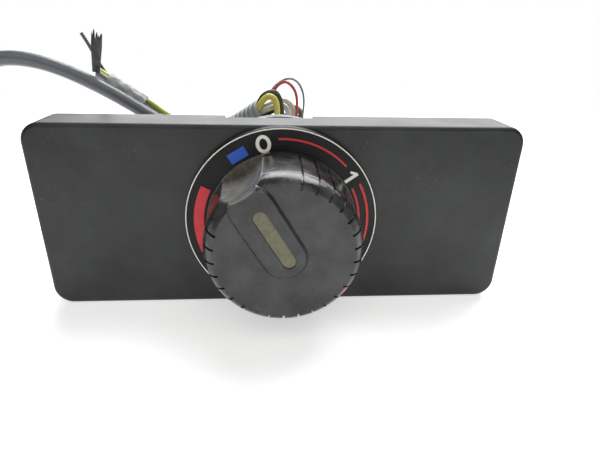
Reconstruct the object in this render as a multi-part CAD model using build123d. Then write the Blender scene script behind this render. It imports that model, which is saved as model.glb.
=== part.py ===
from build123d import *
import math
import os

# Rotary selector switch for a dashboard: a moulded front panel, a round dial with a
# pointer knob, a switch housing behind it, and the loom that leaves the back.
# Millimetres. +X runs along the panel, +Y into the dashboard, +Z up.
# The origin is on the knob's axis, in the plane where the panel's screw bosses end.

# ---- driving dimensions -------------------------------------------------------
PANEL_LENGTH = 115.0
PANEL_HEIGHT = 46.0
PANEL_DEPTH = 11.3
PANEL_RIM_Y = 1.8
PANEL_WALL = 2.0
PANEL_CORNER_R = 4.5
PANEL_EDGE_R = 1.0
BOSS_SPACING_X = 98.0
BOSS_SPACING_Z = 33.0
BOSS_R = 3.0
BOSS_HOLE_R = 1.25
RIM_NOTCH_FROM_X = -13.6
RIM_NOTCH_TO_X = 7.8
RIM_NOTCH_DEPTH = 2.6

DIAL_R = 22.95
DIAL_RAISE = 2.0
SPIGOT_R = 16.9
HOLE_PLAY = 0.3
PRINT_THICKNESS = 0.12
WEDGE_INNER_R = 18.45
WEDGE_OUTER_R = 20.85
RING_LINE_R = 22.7
RING_LINE_WIDTH = 0.24
MARK_R = 19.65

KNOB_R = 17.5
KNOB_FACE_R = 15.0
KNOB_HEIGHT = 16.7
KNOB_GAP = 0.5
KNOB_FLANGE = 1.1
KNOB_WALL = 1.7
POINTER_DEG = -31.0
GRIP_HALF_WIDTH = 4.95
GRIP_ACROSS = -0.2
GRIP_ALONG = 5.9
GRIP_LENGTH = 22.2
GRIP_END_R = 16.9
GRIP_ROOT = 6.0
GRIP_SLOPE_DEG = 35
SCOOP_R = 12.0
SCOOP_ACROSS = -0.6
SCOOP_FLOOR = 15.45
GRIP_RAISE = 0.8
GROOVE_PITCH_DEG = 12.0
GROOVE_WIDTH = 0.5
GROOVE_DEPTH = 0.45
WINDOW_WIDTH = 2.9
WINDOW_LENGTH = 14.2
WINDOW_ACROSS = 0.25
WINDOW_ALONG = 4.3

SPINDLE_R = 4.0
SPINDLE_BORE_R = 2.4
RUNNING_PLAY = 0.05
BUSH_R = 5.3

BARREL_R = 20.6
BARREL_WALL = 1.6
BARREL_REAR_Y = 12.0
COVER_R = 21.4
COVER_FRONT_Y = 9.6
COVER_REAR_Y = 14.0

DETENT_PITCH_DEG = 14.0
DETENT_STEPS_BACK = 6
DETENT_STEPS_ON = 12
DETENT_R = 12.5
BALL_R = 1.5

TERMINAL_R = 15.0
CABLE_R = 2.2
SLEEVE_R = 3.9
SLEEVE_BORE_R = 3.2
BRANCH_R = 1.7

# ---- planes that follow from them ---------------------------------------------
FACE_Y = PANEL_RIM_Y - PANEL_DEPTH
DIAL_Y = FACE_Y - DIAL_RAISE
KNOB_BASE_Y = DIAL_Y - KNOB_GAP
KNOB_FACE_Y = KNOB_BASE_Y - KNOB_HEIGHT
GRIP_Y = KNOB_FACE_Y - GRIP_RAISE
PANEL_INNER_Y = FACE_Y + PANEL_WALL
FLOOR_Z = -PANEL_HEIGHT / 2

os.makedirs("parts", exist_ok=True)


def save(name, shape):
    """Write one sub-part to its own STEP file."""
    export_step(shape, f"parts/{name}.step")


def rod(radius, y_from, y_to, x=0.0, z=0.0):
    """A cylinder along +Y between two planes."""
    plane = Plane(origin=(x, y_from, z), x_dir=(1, 0, 0), z_dir=(0, 1, 0))
    return plane * Cylinder(radius, y_to - y_from, align=(Align.CENTER, Align.CENTER, Align.MIN))


def tube(outer, inner, y_from, y_to, x=0.0, z=0.0):
    """A round tube along +Y between two planes."""
    return rod(outer, y_from, y_to, x, z) - rod(inner, y_from - 1, y_to + 1, x, z)


def block(x, y, z):
    """A box from its low and high limits along each axis."""
    size = (x[1] - x[0], y[1] - y[0], z[1] - z[0])
    low = (Align.MIN, Align.MIN, Align.MIN)
    return Pos(x[0], y[0], z[0]) * Box(*size, align=low)


def turned(points):
    """A solid turned about the Y axis, from (radius, y) points of its half section."""
    corners = [(r, y, 0) for r, y in points]
    return revolve(make_face(Polyline(*corners, close=True)), Axis.Y, 360)


def about_axis(shape, clockwise_deg):
    """Turn a shape about the knob's axis, clockwise as seen from the front."""
    return Rot(0, clockwise_deg, 0) * shape


def dial_point(radius, clockwise_deg):
    """X and Z of a point on the dial, by its angle clockwise from the top."""
    turn = math.radians(clockwise_deg)
    return radius * math.sin(turn), radius * math.cos(turn)


def front_face(sketch, y):
    """Stand a sketch, drawn as seen from the front, upright in the plane y."""
    return Plane(origin=(0, y, 0), x_dir=(1, 0, 0), z_dir=(0, -1, 0)) * sketch


def corner_radii(points):
    """The arc at each corner of a route: 0.45 of the shorter run over tan(half the turn)."""
    places = [Vector(*p) for p in points]
    radii = []
    for before, here, after in zip(places, places[1:], places[2:]):
        turn = math.radians((here - before).get_angle(after - here))
        shorter = min((here - before).length, (after - here).length)
        radii.append(0.45 * shorter / math.tan(turn / 2))
    return radii


def cord(name, points, radius, hollow=0.0):
    """A cord as straight runs joined by tangent arcs; prints its radii and its volume."""
    radii = corner_radii(points)
    path = FilletPolyline(*points, radius=radii)
    start = Plane(origin=path @ 0, z_dir=path % 0)
    solid = sweep(start * Circle(radius), path=path)
    area = math.pi * radius**2
    if hollow:
        solid = solid - sweep(start * Circle(hollow), path=path)
        area -= math.pi * hollow**2
    ratio = solid.volume / (area * path.length)
    listed = ", ".join(f"{r:.1f}" for r in radii)
    print(f"{name}: length {path.length:.1f}, diameter {2 * radius:.1f}")
    print(f"  radii {listed}, volume over area times length {ratio:.3f}")
    save(name, solid)
    return path


# ---- front panel -----------------------------------------------------------------
def front_panel():
    """A shallow tray with rounded corners, open at the back, with four screw bosses."""
    outline = RectangleRounded(PANEL_LENGTH, PANEL_HEIGHT, PANEL_CORNER_R)
    panel = extrude(front_face(outline, PANEL_RIM_Y), PANEL_DEPTH)
    front_edges = panel.faces().sort_by(Axis.Y)[0].edges()
    panel = fillet(front_edges, PANEL_EDGE_R)
    inner_length = PANEL_LENGTH - 2 * PANEL_WALL
    inner_height = PANEL_HEIGHT - 2 * PANEL_WALL
    cavity = RectangleRounded(inner_length, inner_height, PANEL_CORNER_R - PANEL_WALL)
    panel -= extrude(front_face(cavity, PANEL_RIM_Y + 1), PANEL_DEPTH + 1 - PANEL_WALL)
    panel -= rod(SPIGOT_R + HOLE_PLAY, FACE_Y - 1, 0)
    notch_z = (PANEL_HEIGHT / 2 - PANEL_WALL - 1, PANEL_HEIGHT / 2 + 1)
    notch_y = (PANEL_RIM_Y - RIM_NOTCH_DEPTH, PANEL_RIM_Y + 1)
    panel -= block((RIM_NOTCH_FROM_X, RIM_NOTCH_TO_X), notch_y, notch_z)
    for sx in (-1, 1):
        for sz in (-1, 1):
            x = sx * BOSS_SPACING_X / 2
            z = sz * BOSS_SPACING_Z / 2
            panel += rod(BOSS_R, PANEL_INNER_Y - 0.5, 0, x, z)
            panel -= rod(BOSS_HOLE_R, PANEL_INNER_Y + 0.5, 1, x, z)
    save("front_panel", panel)


# ---- dial ------------------------------------------------------------------------
def dial_plate():
    """The raised round dial, whose spigot goes through the panel."""
    dial = rod(DIAL_R, DIAL_Y, FACE_Y)
    dial += rod(SPIGOT_R, FACE_Y - 0.5, PANEL_INNER_Y)
    dial -= rod(BUSH_R + RUNNING_PLAY, DIAL_Y - 1, 0)
    for deg in (90, 210, 330):
        x, z = dial_point(11.5, deg)
        dial -= rod(1.05, DIAL_Y + 1.2, 0, x, z)
    save("dial_plate", dial)


def ring_sector(inner, outer, from_deg, to_deg):
    """A flat piece of a ring, by its dial angles."""
    inner_from = dial_point(inner, from_deg)
    inner_to = dial_point(inner, to_deg)
    outer_from = dial_point(outer, from_deg)
    outer_to = dial_point(outer, to_deg)
    middle = (from_deg + to_deg) / 2
    lines = [
        ThreePointArc(outer_from, dial_point(outer, middle), outer_to),
        Line(outer_to, inner_to),
        ThreePointArc(inner_to, dial_point(inner, middle), inner_from),
        Line(inner_from, outer_from),
    ]
    return make_face(lines)


def printed(name, sketches):
    """Marks printed on the dial, as thin solids."""
    marks = [extrude(front_face(s, DIAL_Y), PRINT_THICKNESS) for s in sketches]
    save(name, Compound(children=marks))


def on_dial(sketch, radius, clockwise_deg):
    """Place a small sketch on the dial with its top outwards."""
    x, z = dial_point(radius, clockwise_deg)
    return Pos(x, z) * Rot(0, 0, -clockwise_deg) * sketch


def dial_marks():
    """White ring and figures 0 and 1, a blue block, and the red wedge and arcs."""
    half_line = RING_LINE_WIDTH / 2
    ring = Circle(RING_LINE_R + half_line) - Circle(RING_LINE_R - half_line)
    zero = Ellipse(1.7, 2.05) - Ellipse(0.9, 1.3)
    stem = Rectangle(0.75, 3.5)
    flag = Pos(-0.62, 1.1) * Rot(0, 0, 38) * Rectangle(1.7, 0.6)
    figures = [on_dial(zero, MARK_R, -12.6), on_dial(stem + flag, MARK_R, 54.8)]
    printed("dial_ring_and_figures", [ring, *figures])
    printed("dial_blue_mark", [on_dial(Rectangle(4.4, 2.4), MARK_R - 0.25, -31.2)])
    # the wedge narrows to a point over its last part
    taper_from = -97
    taper_to = -112
    tip = dial_point(WEDGE_OUTER_R, taper_to)
    outer_start = dial_point(WEDGE_OUTER_R, taper_from)
    taper = make_face([
        ThreePointArc(tip, dial_point(WEDGE_OUTER_R, (taper_from + taper_to) / 2), outer_start),
        Line(outer_start, dial_point(WEDGE_INNER_R, taper_from)),
        Line(dial_point(WEDGE_INNER_R, taper_from), tip),
    ])
    wedge = ring_sector(WEDGE_INNER_R, WEDGE_OUTER_R, taper_from, -63.2) + taper
    arcs = [
        ring_sector(20.15, 20.6, -2.5, 46.2),
        ring_sector(20.4, 20.95, 61.5, 120),
        ring_sector(18.35, 18.85, 62, 112),
    ]
    printed("dial_red_marks", [wedge, *arcs])


# ---- knob ------------------------------------------------------------------------
def knob_outside(inset):
    """The knob's turned outside, without its flange, drawn in by inset."""
    side_y = KNOB_FACE_Y + 4.1
    side_r = KNOB_R - 0.35 - inset
    face_r = KNOB_FACE_R - 0.8 * inset
    face_y = KNOB_FACE_Y + inset
    side = Polyline((0, face_y), (0, KNOB_BASE_Y), (KNOB_R - inset, KNOB_BASE_Y), (side_r, side_y))
    shoulder = ThreePointArc(side @ 1, (side_r - 0.6, side_y - 2.3 + 0.5 * inset), (face_r, face_y))
    return revolve(make_face([side, shoulder, Line(shoulder @ 1, side @ 0)]), Axis.Y, 360)


def selector_knob():
    """A hollow grooved knob with a raised grip bar, a finger scoop and a window slot."""
    flange_y = KNOB_BASE_Y - KNOB_FLANGE
    knob = knob_outside(0)
    # grip grooves all round, apart from the smooth part each side of the pointer
    half_groove = GROOVE_WIDTH / 2
    slab = block((-half_groove, half_groove), (GRIP_Y - 1, flange_y), (KNOB_FACE_R - 0.4, KNOB_R + 1))
    slabs = [about_axis(slab, 43 + i * GROOVE_PITCH_DEG) for i in range(24)]
    knob -= Compound(children=slabs) - knob_outside(GROOVE_DEPTH)
    knob += rod(KNOB_R + 0.25, flange_y, KNOB_BASE_Y)
    # grip bar with sloping sides; its pointer end runs out over the shoulder
    outline = SlotOverall(GRIP_LENGTH, 2 * GRIP_HALF_WIDTH, rotation=90)
    grip = Pos(GRIP_ACROSS, GRIP_ALONG) * outline
    bar = extrude(front_face(grip, KNOB_FACE_Y), GRIP_RAISE, taper=GRIP_SLOPE_DEG)
    bar += extrude(front_face(grip, KNOB_FACE_Y + GRIP_ROOT), GRIP_ROOT)
    knob += bar & rod(GRIP_END_R, GRIP_Y - 1, 0)
    # finger scoop at the pointer end, down to the base flange
    scoop_z = SCOOP_FLOOR + SCOOP_R
    scoop = rod(SCOOP_R, GRIP_Y - 1, flange_y, SCOOP_ACROSS, scoop_z)
    knob -= scoop & block((SCOOP_ACROSS - 6, SCOOP_ACROSS + 6), (GRIP_Y - 1, flange_y), (8, 25))
    # hollow inside, with a hub round the spindle
    roof_y = KNOB_FACE_Y + KNOB_WALL
    side_y = KNOB_FACE_Y + 4.1
    hollow = [
        (6.0, 0), (KNOB_R - 2.0, 0), (KNOB_R - 2.4, side_y), (KNOB_FACE_R - 2.0, roof_y), (6.0, roof_y),
    ]
    scoop_backing = block((-7.5, 7.5), (-40, 0), (12.6, 20))
    knob -= turned(hollow) - scoop_backing
    bore = rod(SPINDLE_R + 0.03, -25.1, 0) - block((3.2, 6), (-26, 0), (-5, 5))
    knob -= bore
    knob -= rod(SPINDLE_BORE_R, -26, -20)
    middle = Pos(WINDOW_ACROSS, WINDOW_ALONG)
    window = middle * SlotOverall(WINDOW_LENGTH + 0.1, WINDOW_WIDTH + 0.1, rotation=90)
    knob -= extrude(front_face(window, -24.5), 8)
    seat = middle * SlotOverall(WINDOW_LENGTH + 2.7, WINDOW_WIDTH + 2.6, rotation=90)
    knob -= extrude(front_face(seat, -25.0), abs(roof_y) - 25.0)
    save("selector_knob", about_axis(knob, POINTER_DEG))


def knob_window():
    """The clear bar in the knob's grip, lit from the light pipe behind it."""
    roof_y = KNOB_FACE_Y + KNOB_WALL
    middle = Pos(WINDOW_ACROSS, WINDOW_ALONG)
    bar = middle * SlotOverall(WINDOW_LENGTH, WINDOW_WIDTH, rotation=90)
    foot = middle * SlotOverall(WINDOW_LENGTH + 2.5, WINDOW_WIDTH + 2.4, rotation=90)
    window = extrude(front_face(bar, roof_y), roof_y - GRIP_Y - 0.25)
    window += extrude(front_face(foot, -25.3), abs(roof_y) - 25.3)
    save("knob_window", about_axis(window, POINTER_DEG))


# ---- what turns with the knob -------------------------------------------------------
def spindle_group():
    """Hollow spindle, light pipe, washer, circlip, rotor and its wiper."""
    shaft = tube(SPINDLE_R, SPINDLE_BORE_R, -24.6, 4.6)
    shaft -= block((3.15, 6), (-26, -11.4), (-5, 5))
    shaft -= tube(SPINDLE_R + 1, 3.5, -3.35, -2.65)
    save("spindle", about_axis(shaft, POINTER_DEG))
    save("light_pipe", rod(SPINDLE_BORE_R - 0.1, -25.0, 4.6))
    save("thrust_washer", tube(7.2, SPINDLE_R + RUNNING_PLAY, -3.9, -3.4))
    clip = tube(5.6, 3.52, -3.3, -2.7) - block((-1.6, 1.6), (-4, 0), (-8, -1))
    save("spindle_circlip", clip)
    rotor = tube(15.6, SPINDLE_R + 0.03, 0, 2.6) + tube(6.4, SPINDLE_R + 0.03, -1.0, 4.6)
    for step in range(-DETENT_STEPS_ON, DETENT_STEPS_BACK + 1):
        x, z = dial_point(DETENT_R, 180 + step * DETENT_PITCH_DEG)
        rotor -= Pos(x, -0.85, z) * Sphere(BALL_R + 0.05)
    save("contact_rotor", rotor)
    leaves = []
    for side in (-1, 1):
        foot = block((-3.4, 3.4), (2.65, 2.95), (side * 11 - 1.6, side * 11 + 1.6))
        arm = block((3.0, 3.4), (2.65, 6.0), (side * 11 - 1.6, side * 11 + 1.6))
        leaves.append(foot + arm)
    save("wiper_contacts", Compound(children=leaves))


# ---- housing and what it holds --------------------------------------------------------
def switch_housing():
    """Round cup behind the panel, with the bush seat and the detent guide."""
    cup = tube(BARREL_R, BARREL_R - BARREL_WALL, -5.4, BARREL_REAR_Y)
    cup += rod(BARREL_R, PANEL_INNER_Y + 0.02, -5.3)
    cup -= rod(BUSH_R + RUNNING_PLAY, -9, 0)
    x, z = dial_point(DETENT_R, 180)
    cup += rod(3.0, -5.5, -1.0, x, z)
    cup -= rod(BALL_R + RUNNING_PLAY, -5.4, 0, x, z)
    for deg in (90, 210, 330):
        sx, sz = dial_point(11.5, deg)
        cup -= rod(1.35, -9, -5, sx, sz)
    for deg in (60, 180, 300):
        lx, lz = dial_point(BARREL_R - 2.4, deg)
        lug = block((lx - 2.2, lx + 2.2), (8.15, 10.4), (lz - 2.2, lz + 2.2)) & rod(BARREL_R - 0.4, 8, 11)
        cup += lug
        cup -= rod(0.8, 8, 12, lx * 0.985, lz * 0.985)
    save("switch_housing", cup)
    screws = []
    for deg in (90, 210, 330):
        sx, sz = dial_point(11.5, deg)
        head = rod(2.1, -5.28, -3.9, sx, sz) - block((sx - 1.6, sx + 1.6), (-4.5, -3), (sz - 0.25, sz + 0.25))
        head -= block((sx - 0.25, sx + 0.25), (-4.5, -3), (sz - 1.6, sz + 1.6))
        screws.append(head + rod(1.0, -10.0, -5.2, sx, sz))
    save("dial_screws", Compound(children=screws))
    bush = tube(BUSH_R, SPINDLE_R + RUNNING_PLAY, -11.6, -5.3)
    bush += tube(7.0, SPINDLE_R + RUNNING_PLAY, -5.25, -4.0) + tube(5.3, SPINDLE_R + RUNNING_PLAY, -5.4, -5.2)
    save("spindle_bush", bush)


def detent():
    """A ball that a coil spring presses against the rotor."""
    x, z = dial_point(DETENT_R, 180)
    save("detent_ball", Pos(x, -BALL_R - 0.12, z) * Sphere(BALL_R))
    turns = 4
    height = 1.75
    path = Plane(origin=(x, -5.2, z), x_dir=(1, 0, 0), z_dir=(0, 1, 0)) * Helix(height / turns, height, 1.0)
    wire = sweep(Plane(origin=path @ 0, z_dir=path % 0) * Circle(0.16), path=path)
    save("detent_spring", wire)


def contact_parts():
    """Track board with its carbon tracks, and the lamp in the middle of the back."""
    board = tube(18.7, 4.2, 6.5, 8.1)
    for deg in terminal_angles():
        x, z = dial_point(TERMINAL_R, deg)
        board -= block((x - 2.6, x + 2.6), (6, 9), (z - 0.6, z + 0.6))
    save("track_board", board)
    tracks = [ring_sector(9.6, 12.6, -150, -4), ring_sector(9.6, 12.6, 4, 150)]
    save("contact_tracks", Compound(children=[extrude(front_face(t, 6.5), 0.2) for t in tracks]))


def terminal_angles():
    """Dial angles of the six terminals in the rear cover."""
    return (-38, 0, 38, 90, 130, 230)


def rear_cover():
    """Cap over the back of the housing, with terminal slots and a lamp seat."""
    cover = rod(COVER_R, COVER_FRONT_Y, COVER_REAR_Y)
    cover = fillet(cover.faces().sort_by(Axis.Y)[-1].edges(), 1.5)
    cover -= rod(BARREL_R + 0.1, COVER_FRONT_Y - 1, BARREL_REAR_Y)
    cover -= rod(4.6, 10, 16)
    for deg in terminal_angles():
        x, z = dial_point(TERMINAL_R, deg)
        cover -= block((x - 2.5, x + 2.5), (10, 16), (z - 0.5, z + 0.5))
    for deg in (60, 180, 300):
        lx, lz = dial_point((BARREL_R - 2.4) * 0.985, deg)
        cover -= rod(1.2, 10, 16, lx, lz)
    # hook that the loom is tied to
    cover += block((-20.4, -15.4), (COVER_REAR_Y - 0.2, 22.0), (2.0, 4.2))
    cover += block((-20.4, -15.4), (20.4, 22.0), (2.0, 6.0))
    save("rear_cover", cover)
    screws = []
    for deg in (60, 180, 300):
        lx, lz = dial_point((BARREL_R - 2.4) * 0.985, deg)
        head = rod(2.0, COVER_REAR_Y + 0.02, COVER_REAR_Y + 1.3, lx, lz)
        head -= block((lx - 1.5, lx + 1.5), (COVER_REAR_Y + 0.7, 20), (lz - 0.22, lz + 0.22))
        head -= block((lx - 0.22, lx + 0.22), (COVER_REAR_Y + 0.7, 20), (lz - 1.5, lz + 1.5))
        screws.append(head + rod(0.75, 8.4, COVER_REAR_Y + 0.1, lx, lz))
    save("cover_screws", Compound(children=screws))


def lamp():
    """A wedge-base lamp in a twist-in holder."""
    holder = tube(4.5, 2.3, 9.2, COVER_REAR_Y + 0.1) + tube(6.2, 2.3, COVER_REAR_Y + 0.02, 15.6)
    holder += rod(4.3, 15.5, 17.6)
    for sz in (-1, 1):
        z = sz * 2.2
        holder += tube(1.0, 0.45, 17.5, 18.6, 1.9, z)
    save("lamp_holder", holder)
    glass = rod(2.15, 7.5, 15.4)
    glass = fillet(glass.faces().sort_by(Axis.Y)[0].edges(), 1.6)
    save("lamp_bulb", glass)


def terminals():
    """Six spade blades riveted to the board, and a push-on receptacle on each."""
    blades = []
    sleeves = []
    for deg in terminal_angles():
        x, z = dial_point(TERMINAL_R, deg)
        blades.append(block((x - 2.4, x + 2.4), (6.6, 19.0), (z - 0.4, z + 0.4)))
        shell = block((x - 3.1, x + 3.1), (14.6, 21.8), (z - 1.5, z + 1.5))
        shell = fillet(shell.edges().filter_by(Axis.Y), 0.7)
        shell -= block((x - 2.45, x + 2.45), (14, 19.1), (z - 0.45, z + 0.45))
        sleeves.append(shell)
    save("spade_terminals", Compound(children=blades))
    save("wire_receptacles", Compound(children=sleeves))


# ---- loom ---------------------------------------------------------------------------
# each lead: its radius, then its route from a terminal to the mouth of the sleeve
LEADS = {
    "lead_yellow": (0.9, [
        (0.0, 22.0, 15.0), (-0.2, 24.3, 15.0), (-0.3, 24.0, 18.3), (-0.6, 23.2, 23.5),
        (-2.8, 22.9, 25.0), (-5.0, 23.3, 22.9), (-6.0, 23.9, 20.9), (-7.0, 24.4, 20.0),
    ]),
    "lead_green": (0.75, [
        (-9.2, 22.0, 11.8), (-8.4, 25.6, 11.0), (-1.9, 27.4, 11.8), (1.3, 26.0, 15.3),
        (1.6, 24.9, 23.2), (-0.9, 25.0, 26.8), (-4.8, 25.2, 25.4), (-6.0, 25.6, 21.8), (-6.9, 26.1, 20.9),
    ]),
    "lead_white_front": (0.8, [
        (11.5, 22.0, -9.6), (11.2, 26.0, -8.8), (7.6, 29.4, 2.0), (3.5, 28.2, 12.4),
        (3.1, 27.2, 20.8), (0.6, 26.9, 21.8), (-2.4, 25.8, 20.9), (-4.7, 25.2, 19.9), (-6.0, 25.7, 19.0),
    ]),
    "lead_white_rear": (0.8, [
        (-11.5, 22.0, -9.6), (-11.0, 26.4, -9.0), (-4.5, 31.4, -2.0), (3.2, 31.2, 8.0),
        (5.1, 29.4, 15.5), (4.5, 29.0, 21.3), (1.6, 28.9, 23.0), (-1.9, 28.0, 22.1), (-4.4, 27.0, 20.6),
        (-5.6, 27.4, 19.8),
    ]),
    "lead_brown": (0.8, [
        (9.2, 22.0, 11.8), (8.9, 25.2, 12.0), (6.9, 27.0, 16.1), (7.1, 29.4, 19.8),
        (4.7, 32.0, 20.4), (0.5, 31.0, 20.0), (-2.0, 28.0, 19.6), (-4.1, 27.0, 18.4),
    ]),
    "lead_black": (0.8, [
        (15.0, 22.0, 0.0), (14.8, 26.0, 1.0), (11.4, 28.6, 10.4), (8.6, 31.0, 16.2),
        (4.3, 33.4, 17.6), (0.0, 31.0, 17.4), (-2.4, 26.2, 17.6), (-4.3, 25.0, 17.4),
    ]),
    "lead_lamp_red": (0.4, [
        (1.9, 18.6, 2.2), (3.0, 23.4, 3.6), (4.7, 24.6, 11.7), (5.6, 24.7, 19.9),
        (5.3, 24.5, 25.8), (2.9, 24.2, 28.9), (0.1, 23.8, 28.2), (-2.1, 23.7, 26.9), (-3.7, 24.0, 25.4),
        (-5.7, 24.4, 22.5), (-6.5, 24.8, 21.8),
    ]),
    "lead_lamp_grey": (0.3, [
        (1.9, 18.6, -2.2), (4.4, 23.6, -1.0), (6.8, 24.6, 8.0), (7.0, 24.6, 17.4),
        (7.7, 24.6, 23.8), (6.2, 24.8, 28.2), (3.2, 25.2, 29.8), (-0.5, 26.0, 28.2), (-3.9, 26.6, 24.5),
        (-5.5, 26.6, 21.4), (-6.2, 26.9, 20.6),
    ]),
}
SLEEVE_ROUTE = [(-4.3, 25.0, 20.1), (-11.2, 28.0, 15.0), (-18.6, 30.4, 11.3), (-26.3, 31.4, 10.6)]
CABLE_ROUTE = [
    (-25.4, 31.3, 10.7), (-33.2, 31.7, 13.2), (-41.0, 31.4, 18.5), (-49.6, 31.0, 24.1),
    (-58.9, 30.6, 29.0), (-68.1, 30.3, 32.5), (-77.6, 30.0, 33.5), (-86.3, 29.8, 30.5),
    (-93.0, 29.5, 24.1), (-97.0, 29.2, 15.6), (-99.2, 28.9, 6.4), (-101.0, 28.5, -2.5),
    (-104.6, 28.0, -9.6), (-110.6, 27.5, -15.2),
]
COIL_CENTRE = (-121.0, 8.0)
COIL_INNER_R = 14.2
COIL_OUTER_R = 29.6
TAIL_START = (-119.0, -19.6)
TAIL_END = (-101.9, -21.3)
STRAY_ROUTE = [(-51.5, 36.1, 28.2), (-53.6, 36.0, 31.9), (-55.1, 35.8, 36.1), (-57.1, 35.6, 40.0)]
BRANCH_ROUTE = [
    (-27.6, 35.6, 12.3), (-34.8, 35.4, 16.3), (-41.2, 34.8, 21.0), (-47.5, 34.2, 25.2), (-53.6, 33.8, 29.4),
]


def loom():
    """Leads, sleeve, the stiff taped cable, its branch, coil and plug."""
    for name, (radius, route) in LEADS.items():
        cord(name, route, radius)
    cord("loom_sleeve", SLEEVE_ROUTE, SLEEVE_R, SLEEVE_BORE_R)
    cord("loom_cable", CABLE_ROUTE, CABLE_R)
    cx, cy = COIL_CENTRE
    coil = Pos(cx, cy, FLOOR_Z + CABLE_R) * (
        Cylinder(COIL_OUTER_R, 2 * CABLE_R) - Cylinder(COIL_INNER_R, 2 * CABLE_R + 2)
    )
    save("loom_coil", coil)
    start = Vector(*TAIL_START, FLOOR_Z + CABLE_R)
    run = Vector(*TAIL_END, FLOOR_Z + CABLE_R) - start
    on_floor = Plane(origin=start, z_dir=run)
    save("loom_tail", on_floor * Cylinder(CABLE_R, run.length, align=(Align.CENTER, Align.CENTER, Align.MIN)))
    cord("loom_branch", BRANCH_ROUTE, BRANCH_R)
    cord("branch_stray_lead", STRAY_ROUTE, 0.5)


def loom_fittings():
    """Ties, tape and the plug on the loom."""
    wrap_from = Vector(-31.8, 31.64, 12.76)
    wrap = Plane(origin=wrap_from, z_dir=(-7.8, -0.3, 5.3)) * (
        Cylinder(CABLE_R + 0.55, 6.0, align=(Align.CENTER, Align.CENTER, Align.MIN))
        - Cylinder(CABLE_R + 0.15, 14.0)
    )
    save("loom_tape", wrap)
    tail = Pos(-52.3, 32.0, 35.2) * Rot(0, 10, 0) * Box(3.2, 0.5, 12.0)
    save("tape_tail", tail)
    tie_x = COIL_CENTRE[0] - (COIL_INNER_R + COIL_OUTER_R) / 2
    ring_width = COIL_OUTER_R - COIL_INNER_R
    band = Box(ring_width + 1.8, 3.0, 6.4) - Box(ring_width + 0.4, 4.0, 4.6)
    band += Pos(2.0, 0, 3.6) * Box(4.2, 3.4, 2.4)
    above_floor = Pos(tie_x, COIL_CENTRE[1], FLOOR_Z + 10) * Box(40, 40, 20)
    save("coil_tie", Pos(tie_x, COIL_CENTRE[1], FLOOR_Z + CABLE_R + 0.1) * band & above_floor)


def plug():
    """Four-way plug at the loom's end, lying on the floor beside the coil."""
    body = Box(17.0, 12.0, 8.6)
    body = fillet(body.edges().filter_by(Axis.X), 0.9)
    for sy in (-1, 1):
        for sz in (-1, 1):
            body -= Pos(5.6, sy * 2.6, sz * 1.8) * Box(6.0, 2.6, 2.2)
    body -= Pos(-8.5, 0, 0) * Rot(0, 90, 0) * Cylinder(CABLE_R + 0.05, 5.0)
    latch = Pos(1.0, 0, 4.3) * Box(11.0, 4.4, 1.1)
    place = Pos(-93.5, -22.7, FLOOR_Z + 4.3) * Rot(0, 0, -9.46)
    save("plug_housing", place * (body + latch))
    pins = []
    for sy in (-1, 1):
        for sz in (-1, 1):
            pins.append(place * (Pos(4.6, sy * 2.6, sz * 1.8) * Box(4.0, 1.5, 0.8)))
    save("plug_terminals", Compound(children=pins))


front_panel()
dial_plate()
dial_marks()
selector_knob()
knob_window()
spindle_group()
switch_housing()
detent()
contact_parts()
rear_cover()
lamp()
terminals()
loom()
loom_fittings()
plug()
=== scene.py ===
import math

import bmesh
import bpy
from bpy.props import FloatProperty, FloatVectorProperty, PointerProperty
from mathutils import Matrix, Vector, noise


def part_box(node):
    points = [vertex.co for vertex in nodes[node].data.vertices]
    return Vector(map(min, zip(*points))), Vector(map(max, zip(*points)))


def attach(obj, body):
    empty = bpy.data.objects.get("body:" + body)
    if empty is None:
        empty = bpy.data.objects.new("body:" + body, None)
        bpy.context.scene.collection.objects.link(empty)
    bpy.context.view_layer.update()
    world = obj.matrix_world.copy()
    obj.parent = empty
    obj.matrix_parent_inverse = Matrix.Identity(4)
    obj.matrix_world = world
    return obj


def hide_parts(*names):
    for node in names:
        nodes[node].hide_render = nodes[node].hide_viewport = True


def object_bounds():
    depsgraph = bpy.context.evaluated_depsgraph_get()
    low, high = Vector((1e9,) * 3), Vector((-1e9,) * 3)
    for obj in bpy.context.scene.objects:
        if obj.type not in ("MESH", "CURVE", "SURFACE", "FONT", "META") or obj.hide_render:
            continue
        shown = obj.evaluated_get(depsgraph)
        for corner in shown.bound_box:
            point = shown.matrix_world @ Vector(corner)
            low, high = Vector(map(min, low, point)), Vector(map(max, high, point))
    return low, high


bl_info = {
    "name": "Rotary Selector Switch",
    "version": (1, 0, 0),
    "blender": (4, 5, 0),
    "location": "View3D > Sidebar > Selector Switch",
    "description": "Dresses the frame of a dashboard rotary selector switch and adds its wiring",
    "category": "Add Mesh",
}

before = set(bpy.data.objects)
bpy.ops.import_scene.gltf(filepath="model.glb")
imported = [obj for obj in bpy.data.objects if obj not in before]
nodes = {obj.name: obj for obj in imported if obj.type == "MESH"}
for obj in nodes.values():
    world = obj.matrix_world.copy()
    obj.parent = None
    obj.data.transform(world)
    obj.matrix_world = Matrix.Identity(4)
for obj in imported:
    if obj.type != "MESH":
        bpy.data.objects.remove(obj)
cad_low, cad_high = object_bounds()

MM = 0.001
FLOOR_Z = cad_low.z


# ---- colour and nodes ----------------------------------------------------------


def linear(hex_colour):
    """An sRGB hex colour as linear red, green and blue."""
    channels = [int(hex_colour[i : i + 2], 16) / 255 for i in (1, 3, 5)]
    return tuple(c / 12.92 if c <= 0.04045 else ((c + 0.055) / 1.055) ** 2.4 for c in channels)


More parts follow.
